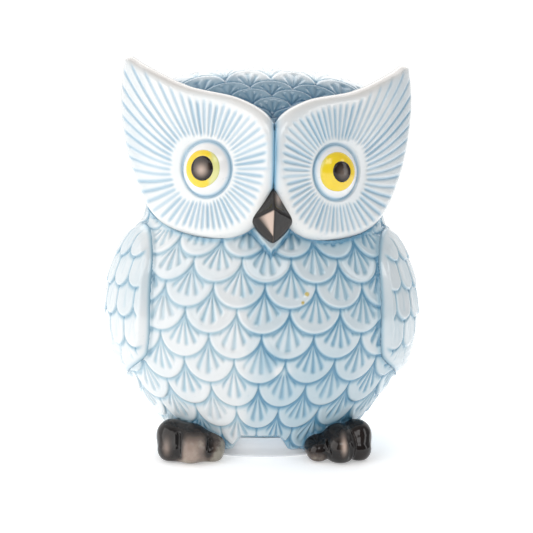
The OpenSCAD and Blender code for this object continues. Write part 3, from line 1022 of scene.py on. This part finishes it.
def make_tail():
    cols, rows = 300, 80
    loop = tail_loop(cols)
    loop[:, 1] = np.maximum(loop[:, 1], 0)
    share = np.sin(np.linspace(0, math.pi / 2, rows + 1)[1:])
    a, z = nested(loop, TAIL_CENTRE, share)
    t = share[:, None] * np.ones(cols)
    down = np.clip(1 - z / TAIL_TOP, 0, 1)
    reach = HALF_D - STATIONS[0, 3]
    body = reach * down ** 1.6 + 2 * (1 - t ** 6) * (1 - down ** 4)
    lane = (a - TAIL_CENTRE[0]) / TAIL_LANE
    part = np.abs(lane - np.round(lane))
    valley = bell((0.5 - part) * TAIL_LANE * 0.7, 0.75)
    inside = smoothstep(1.0, 0.93, t)
    height = body - 0.9 * valley * inside - 0.4 * (1 - inside) * (z > 1)
    barb = np.sin((z + part * 9) * 2.4)
    height += 0.10 * barb * inside * (1 - valley)
    pool = 0.9 * valley * inside + 0.1 * (1 - barb) * inside + 0.6 * bell(1 - t, 0.03)
    make_pad("tail", loop, TAIL_CENTRE, np.minimum(height, reach), pool, share)


# ---------------------------------------------------------------- feathered skin
SCALES_ROUND = 18
SCALE_PITCH = 8.9
FIRST_ROW = 75.2    # height of the lower ends of the first row under the face
# The feathers of the crown start in the valley between the discs and run over the head
HEAD_AXIS_Y, HEAD_AXIS_Z = -25.0, 98.0
HEAD_SCALE_W = 17.0
HEAD_PITCH = 8.5
BROW_Z = 138.9          # the crown's feathers are shorter below this height, in the valley
BROW_SQUEEZE = 1.95
LAST_HEAD_ROW = 11
# The plain plate under the beak
CHIN_HALF_W, CHIN_DROP, CHIN_Z, CHIN_RISE = 11.5, 13.5, 89, 2.6


def crown_line():
    """Angle and length of the way over the crown and down the nape, from the front."""
    s = np.linspace(station_at(60.0), LAST, 700)
    back = skin_point(np.full(700, math.pi / 2), s)[::-1]
    front = skin_point(np.full(700, -math.pi / 2), s)[300:]
    line = np.concatenate([front, back])
    run = np.concatenate([[0], np.cumsum(np.linalg.norm(np.diff(line, axis=0), axis=1))])
    lean = np.arctan2(line[:, 1] - HEAD_AXIS_Y, line[:, 2] - HEAD_AXIS_Z)
    run -= np.interp(BROW_Z, front[:, 2], run[:len(front)])
    return lean, 2 * HEAD_PITCH + np.where(run < 0, BROW_SQUEEZE * run, run)


CROWN_LEAN, CROWN_RUN = crown_line()


def skin_relief(p, share):
    """Feathers of the whole skin: scales down the body, and a cap of them on the head."""
    z = p[..., 2]
    drift = -0.105 + 0.003 * (z - 66)
    girth_here = GIRTH * np.interp(z, [8, 30, 52, 70, 88], [0.70, 0.94, 1.0, 0.94, 0.80])
    across = np.mod(share + 0.5, 1) - 0.5
    height, pool, _, _ = scales(across * SCALES_ROUND - drift + 0.5, z - FIRST_ROW,
                                girth_here / SCALES_ROUND, SCALE_PITCH, 1)
    up = np.maximum(z - HEAD_AXIS_Z, 0)
    back = p[..., 1] - HEAD_AXIS_Y
    q = np.hypot(up, np.maximum(back, 0))
    lean = np.arctan2(back, z - HEAD_AXIS_Z)
    run = np.interp(lean, CROWN_LEAN, CROWN_RUN)
    head_across = np.arctan2(p[..., 0], np.maximum(q, 5)) * (20 + 0.58 * q) / HEAD_SCALE_W
    head, head_pool, row, above = scales(head_across, -run, HEAD_SCALE_W, HEAD_PITCH, 21,
                                         fan=0.9, lift=0.85)
    on_head = (row <= LAST_HEAD_ROW) & (z > 84)
    below = np.where(row == LAST_HEAD_ROW + 1, above, 9.0)
    height = np.where(on_head, head, height - 0.3 * bell(below, 0.6))
    pool = np.where(on_head, head_pool, pool + 0.8 * bell(below, 0.9))
    # a plain chin plate frames the beak from below
    plate = 1 - np.abs(p[..., 0]) / CHIN_HALF_W - np.maximum(CHIN_Z - z, 0) / CHIN_DROP
    chin = smoothstep(0, 0.14, plate) * (p[..., 1] < 0) * smoothstep(96, 92, z)
    height = height * (1 - chin) + CHIN_RISE * chin
    pool = pool * (1 - chin) + 0.8 * bell(plate, 0.07) * (p[..., 1] < 0) * (z < 90)
    return height, pool


def spread_columns(cols, front):
    """Shares of the way round, closer together at the front when front is above 0."""
    w = (np.arange(cols) + 0.5) / cols - 0.5
    return w - front * np.sin(TAU * w) / TAU


def further(a, b):
    """The one of two moves that goes further."""
    return np.where(np.abs(b) > np.abs(a), b, a)


# ---------------------------------------------------------------- torso
FLECKS = ((12.8, 62.6, 0.75), (11.3, 59.6, 0.55))    # across, height and radius


def make_torso():
    cols, rows = 820, 236
    share = spread_columns(cols, 0.35)
    angle = angle_of(share)
    x_low = skin_point(angle, np.full(cols, float(station_at(BASE_H))))[:, 0]
    middle = smoothstep(13.5, 6.5, np.abs(x_low + 1.8)) * (np.cos(TAU * share) > 0)
    z0 = 1.7 + 5.9 * middle
    line = skin_point(np.zeros(400), station_at(np.linspace(2.0, NECK_Z, 400)))
    z = z0 + (NECK_Z - z0) * even_rows(line, rows)[:, None]
    wide = np.broadcast_to(share, z.shape)
    smooth_skin = skin_point(angle[None, :], station_at(z))
    normals = grid_normals(smooth_skin)
    height, pool = skin_relief(smooth_skin, wide)
    low = smoothstep(0, 2.2, z - z0)
    height = height * low - 0.9 * (1 - low) - 0.3
    pool = pool * low + 0.45 * (1 - low)
    wing = np.minimum(wing_distance(wide, z, 1), wing_distance(wide, z, -1))
    near = np.minimum.reduce([wing, tail_distance(np.broadcast_to(angle, z.shape), z),
                              disc_distances(smooth_skin)])
    move = fillet(near, 1.1)
    for side in (1, -1):
        rise, foot = blend_out(smooth_skin, normals, lambda p: foot_solid(p, side), 1.6)
        move = further(move, rise)
        near = np.minimum(near, foot)
    keep = 1 - smoothstep(0.1, 1.0, np.abs(move))
    height = height * keep + move
    crease = 1 - 0.6 * (wing < near + 0.1)
    near = np.maximum(near, 0)
    pool = pool + (0.75 * bell(near, 1.1) + 0.22 * bell(near, 3.5)) * crease
    pool += 0.10 * wobble(smooth_skin, 30, 4)
    # the right half of the breast is paler, partly a thinner glaze and partly a painted reflection
    # of the left softbox; the rest is bluer, and more so low down
    x, y = smooth_skin[..., 0], smooth_skin[..., 1]
    paler_glaze_and_reflection = smoothstep(-5.5, -12, x + 2.0 * wobble(smooth_skin, 9, 6)) * smoothstep(20, -20, y)
    pool = pool * (1 - 0.36 * paler_glaze_and_reflection) + 0.17 * (1 - paler_glaze_and_reflection) + 0.08 * smoothstep(45, 15, z) * (1 - paler_glaze_and_reflection)
    # a run of thick glaze beside a bare spot, low on the breast
    breast = y < 0
    pool += breast * (0.34 * bell(np.hypot(x + 0.5, z - 39.5), 4.5)
                      - 0.60 * bell(np.hypot(x - 4.4, (z - 35.2) * 1.3), 2.4))
    outer = smooth_skin + normals * height[..., None]
    outer = tuck_under_disc(tuck_under_disc(outer, 1), -1)
    inner_z = np.linspace(NECK_Z, BASE_H, 12)[:, None]
    inner = skin_point(angle[None, :], station_at(inner_z), grow=-WALL)
    speck = np.zeros(z.shape)
    for fleck_x, fleck_z, size in FLECKS:
        away = np.hypot(x - fleck_x, z - fleck_z)
        speck = np.maximum(speck, smoothstep(size + 0.3, size - 0.2, away) * breast)
    marks = {"pool": np.concatenate([pool, np.full(inner.shape[:2], 0.2)]),
             "speck": np.concatenate([speck, np.zeros(inner.shape[:2])])}
    torso = ring_mesh("torso", np.concatenate([outer, inner]), marks)
    finish_piece(torso, "torso_shell", BODY_GLAZE)


# ---------------------------------------------------------------- head
SLOT_L, SLOT_H, SLOT_Z = 38.0, 5.0, 118.0
SLOT_STRAIGHT = (SLOT_L - SLOT_H) / 2    # from its middle to the centre of a round end


def slot_distance(p):
    """Distance from the coin slot's outline on the back of the head, negative inside."""
    x = np.abs(p[..., 0])
    dz = np.abs(p[..., 2] - SLOT_Z)
    d = np.hypot(np.maximum(x - SLOT_STRAIGHT, 0), dz) - SLOT_H / 2
    return np.where(p[..., 1] > 0, d, 99)


def make_head():
    cols, rows = 640, 210
    share = spread_columns(cols, -0.1)
    angle = angle_of(share)
    s0 = float(station_at(NECK_Z - 0.3))
    sweep = np.linspace(s0, LAST, 600)
    line = skin_point(np.full(600, math.pi / 2), sweep)
    s = s0 + (LAST - s0) * even_rows(line, rows + 1)[:-1]
    smooth_skin = skin_point(angle[None, :], s[:, None])
    normals = grid_normals(smooth_skin)
    height, pool = skin_relief(smooth_skin, np.broadcast_to(share, (rows, cols)))
    z = smooth_skin[..., 2]
    height -= 0.3 * smoothstep(125, 95, z) + 0.6 * smoothstep(144, 147, z)
    move, tuft = blend_out(smooth_skin, normals, tuft_solid, 6.0)
    disc = disc_distances(smooth_skin)
    move = further(move, fillet(disc, 1.6))
    keep = 1 - smoothstep(0.15, 1.6, np.abs(move))
    slot = slot_distance(smooth_skin)
    keep = keep * smoothstep(1.0, 3.5, slot)
    height = height * keep + move - 0.9 * bell(np.maximum(slot, 0), 1.2)
    near = np.maximum(disc, 0)
    pool = pool * keep + 0.6 * bell(near, 1.5) + 0.25 * bell(near, 4) \
        + 0.3 * bell(np.maximum(tuft, 0), 1.2) + 0.5 * bell(np.maximum(slot, 0), 0.8)
    # painted reflection: a darker band on the front of the crown, in the valley between the discs;
    # the pale band above it is a painted highlight
    front = smoothstep(6, -10, smooth_skin[..., 1])
    dark = front * smoothstep(117, 125, z) \
        * smoothstep(142.0, 138.0, z + 1.5 * wobble(smooth_skin, 12, 2))
    pool += 0.10 * wobble(smooth_skin, 25, 8)
    # painted highlight: the pale band at the top of the crown's front
    pool *= 1 - 0.5 * front * smoothstep(140, 143, z)
    outer = smooth_skin + normals * height[..., None]
    outer = tuck_under_disc(tuck_under_disc(outer, 1), -1)
    crown = STATIONS[LAST, 0]
    inner_s = np.linspace(LAST - 0.4, s0, 16)
    inner = skin_point(angle[None, :], inner_s[:, None])
    inner_st = catmull(STATIONS, inner_s)
    shrink = np.maximum(inner_st[:, 1] - WALL, 1) / np.maximum(inner_st[:, 1], 1)
    inner[..., :2] *= shrink[:, None, None]
    inner[..., 2] = np.minimum(inner[..., 2], crown - WALL) \
        - WALL * smoothstep(crown - 25, crown - 6, inner[..., 2])
    inner[..., 2] = np.minimum(inner[..., 2], crown - WALL - 0.3)
    marks = {"pool": np.concatenate([np.full(inner.shape[:2], 0.2), pool]),
             "dark": np.concatenate([np.zeros(inner.shape[:2]), dark])}
    head = capped("head", np.concatenate([inner, outer]), marks, (0, 0, crown - WALL),
                  (0, 0, crown - 0.5))
    face_outwards(head)
    cut_slot(head)
    finish_piece(head, "head_shell", BODY_GLAZE)


def cut_slot(head):
    """Cuts the coin slot straight through the back of the head."""
    near_y, far_y = 20, 60
    half = SLOT_H / 2
    turn = np.linspace(-math.pi / 2, math.pi / 2, 24)
    end = np.stack([SLOT_STRAIGHT + half * np.cos(turn), half * np.sin(turn)], axis=-1)
    loop = np.concatenate([end, -end])
    rings = np.array([np.stack([loop[:, 0], np.full(len(loop), y), SLOT_Z + loop[:, 1]], axis=-1)
                      for y in (near_y, far_y)])
    cutter = capped("slot_cutter", rings, {}, (0, near_y, SLOT_Z), (0, far_y, SLOT_Z))
    face_outwards(cutter)
    mod = head.modifiers.new("slot", "BOOLEAN")
    mod.operation = "DIFFERENCE"
    mod.solver = "EXACT"
    mod.object = cutter
    bpy.context.view_layer.update()
    shaped = bpy.data.meshes.new_from_object(head.evaluated_get(
        bpy.context.evaluated_depsgraph_get()))
    head.modifiers.clear()
    head.data = shaped
    bpy.data.objects.remove(cutter)


# ---------------------------------------------------------------- base
HOLE_R = 18.0
RECESS_R = 25.0
RECESS_H = 3.0
BEVEL = 0.4


def make_base():
    cols, wall_rows, bend_rows = 300, 28, 6
    angle = angle_of(np.arange(cols) / cols)

    def ring(z, grow):
        return skin_point(angle, np.full(cols, float(station_at(z))), grow)

    def circle(r, z):
        return np.stack([r * np.cos(angle), r * np.sin(angle), np.full(cols, z)], axis=-1)
    rings = []
    # the white cove, the rounded edge under it, and the ring that the owl stands on
    for z in np.linspace(BASE_H, 1.0, wall_rows):
        t = (BASE_H - z) / (BASE_H - 1.0)
        rings.append(ring(z, -1.5 * math.sin(math.pi * (0.08 + 0.92 * t)) + 0.9 * t - 0.75))
    for k in range(1, bend_rows + 1):
        turn = k / bend_rows * math.pi / 2
        p = ring(0.5, 0.25 - 1.0 * (1 - math.cos(turn)))
        p[:, 2] = 1.0 - math.sin(turn)
        rings.append(p)
    edge = rings[-1].copy()
    for share in (0.5, 1):
        p = edge * (1 - share) + circle(RECESS_R + BEVEL, 0.0) * share
        p[:, 2] = 0
        rings.append(p)
    # the recess, the hole in it, and the top inside the body
    top = BASE_H - 0.02
    for r, z in ((RECESS_R, BEVEL), (RECESS_R, RECESS_H - BEVEL), (RECESS_R - BEVEL, RECESS_H),
                 (HOLE_R + 3.2, RECESS_H), (HOLE_R + BEVEL, RECESS_H),
                 (HOLE_R, RECESS_H + BEVEL), (HOLE_R, BASE_H - BEVEL), (HOLE_R + BEVEL, top)):
        rings.append(circle(r, z))
    last = ring(BASE_H, -2.5)
    last[:, 2] = top
    rings.append(last)
    rings = np.array(rings)
    pool = np.full(rings.shape[:2], 0.05)
    pool[:wall_rows] = np.linspace(0.45, 0.02, wall_rows)[:, None] ** 1.5
    base = ring_mesh("base", rings, {"pool": pool})
    finish_piece(base, "base_plate", BASE_GLAZE)


# ---------------------------------------------------------------- stopper
def make_stopper():
    cols = 128
    gap, plug_l, plug_t, rim, rim_t = 0.05, 13.0, 2.2, 4.0, 2.0
    plug_r = HOLE_R - gap
    tip_r = plug_r - 1
    low, top = RECESS_H - rim_t, RECESS_H + plug_l
    inner = plug_r - plug_t
    profile = [
        (0.01, top - plug_t), (tip_r - plug_t - 1.5, top - plug_t),
        (tip_r - plug_t - 0.4, top - plug_t - 0.4), (tip_r - plug_t, top - plug_t - 1.5),
        (inner - 0.3, low + 4), (inner - 0.05, low + 0.8), (inner + 0.25, low + 0.2),
        (inner + 0.8, low), (plug_r + 1.5, low), (plug_r + rim - 0.9, low),
        (plug_r + rim - 0.25, low + 0.25), (plug_r + rim, low + 0.8),
        (plug_r + rim, RECESS_H - 0.5), (plug_r + rim - 0.15, RECESS_H - 0.15),
        (plug_r + rim - 0.5, RECESS_H), (plug_r + 0.4, RECESS_H), (plug_r, RECESS_H + 0.3),
        (plug_r, BASE_H), (plug_r - 0.5, (BASE_H + top) / 2), (tip_r, top - 1.2),
        (tip_r - 0.3, top - 0.4), (tip_r - 1.0, top), (tip_r * 0.6, top), (0.01, top),
    ]
    turn = np.arange(cols) / cols * TAU
    rings = np.array([np.stack([r * np.cos(turn), r * np.sin(turn), np.full(cols, z)], axis=-1)
                      for r, z in profile[1:-1]])
    cup = capped("stopper", rings, {}, (0, 0, top - plug_t), (0, 0, top))
    face_outwards(cup)
    # the bar that the fingers pull, waisted in its middle and rounded on its edges
    length, around = 2 * (inner + 0.3), 20
    half_h = (BASE_H - low) / 2 - 0.02
    turn = np.arange(around) / around * TAU
    bar = []
    for x in np.linspace(-length / 2, length / 2, 30):
        waist = math.cos(math.pi * x / length)
        y = (2.5 - 0.35 * waist) * signed_power(np.cos(turn), 0.45)
        z = (BASE_H + low) / 2 + 0.15 * waist \
            + (half_h - 0.15) * signed_power(np.sin(turn), 0.45)
        bar.append(np.stack([np.full(around, x), y, z], axis=-1))
    grip = lump("grip", np.array(bar), {})
    face_outwards(grip)
    bpy.context.view_layer.update()
    joined = np.array([v.co for part in (cup, grip) for v in part.data.vertices])
    faces = [tuple(p.vertices) for p in cup.data.polygons]
    shift = len(cup.data.vertices)
    faces += [tuple(i + shift for i in p.vertices) for p in grip.data.polygons]
    quads = [f for f in faces if len(f) == 4]
    tris = [f for f in faces if len(f) == 3]
    for part in (cup, grip):
        bpy.data.objects.remove(part)
    plug = new_mesh("stopper_plug", joined / MM, quads, tris)
    finish_piece(plug, "stopper", RUBBER, body="stopper")


# ---------------------------------------------------------------- stage
def area_light(name, place, aim, size, power, color=(1, 1, 1)):
    data = bpy.data.lights.new(name, "AREA")
    data.shape = "RECTANGLE"
    data.size, data.size_y = size
    data.energy = power
    data.color = color
    obj = bpy.data.objects.new(name, data)
    bpy.context.scene.collection.objects.link(obj)
    obj.location = place
    obj.rotation_euler = (Vector(aim) - Vector(place)).to_track_quat("-Z", "Y").to_euler()


def make_stage():
    mesh = bpy.data.meshes.new("floor")
    half = 3.0    # metres
    mesh.from_pydata([(-half, -half, 0), (half, -half, 0), (half, half, 0), (-half, half, 0)],
                     [], [(0, 1, 2, 3)])
    floor = bpy.data.objects.new("floor", mesh)
    bpy.context.scene.collection.objects.link(floor)
    mat, nodes, links, bsdf = node_material("floor")
    color = ramp(nodes, links, noise(nodes, links, 3),
                 [(0.0, (0.90, 0.90, 0.90)), (1.0, (0.92, 0.92, 0.92))])
    links.new(color, bsdf.inputs["Base Color"])
    bsdf.inputs["Roughness"].default_value = 0.8
    bsdf.inputs["Emission Color"].default_value = (1, 1, 1, 1)
    bsdf.inputs["Emission Strength"].default_value = 0.38
    mesh.materials.append(mat)
    # the sky is white behind the owl and above it, and dimmer towards the camera
    world = bpy.data.worlds.new("world")
    bpy.context.scene.world = world
    world.use_nodes = True
    nodes, links = world.node_tree.nodes, world.node_tree.links
    coords = nodes.new("ShaderNodeTexCoord")
    dot = nodes.new("ShaderNodeVectorMath")
    dot.operation = "DOT_PRODUCT"
    dot.inputs[1].default_value = Vector((-0.35, 0.85, 0.30)).normalized()
    links.new(coords.outputs["Generated"], dot.inputs[0])
    level = maths(nodes, links, "MULTIPLY_ADD", dot.outputs["Value"], 0.5, 0.5)
    sky = ramp(nodes, links, level,
               [(0.12, (0.19, 0.19, 0.20)), (0.42, (0.34, 0.34, 0.35)),
                (0.66, (1.0, 1.0, 1.0)), (1.0, (1.08, 1.08, 1.08))], "EASE")
    links.new(sky, nodes["Background"].inputs["Color"])
    nodes["Background"].inputs["Strength"].default_value = 1.0
    middle = (0, 0, 0.08)
    area_light("left_softbox", (-0.74, -0.56, 0.40), middle, (0.95, 0.95), 4.4,
               (1.0, 0.965, 0.945))
    area_light("right_softbox", (0.95, -0.42, 0.40), middle, (0.25, 0.80), 1.3)
    area_light("top_softbox", (0.0, 0.55, 0.90), middle, (1.2, 0.7), 3.0)
    area_light("front_softbox", (0.12, -1.0, 0.85), middle, (0.55, 0.40), 1.7)
    bpy.context.scene.view_settings.view_transform = "Standard"


# ---------------------------------------------------------------- assembly
make_camera()
make_stage()
for prefix, side in (("left", 1), ("right", -1)):
    make_disc(prefix, side)
    make_wing(prefix, side)
    make_foot(prefix, side)
    make_tuft(prefix, side)
make_eye("left", 1, -1.2, 7.1, -0.9, 3.8, 0.25, 1.0)
make_eye("right", -1, 0.0, 6.7, -0.6, 4.4, 1.0, 2.5)
make_beak()
make_tail()
make_base()
make_torso()
make_head()
make_stopper()
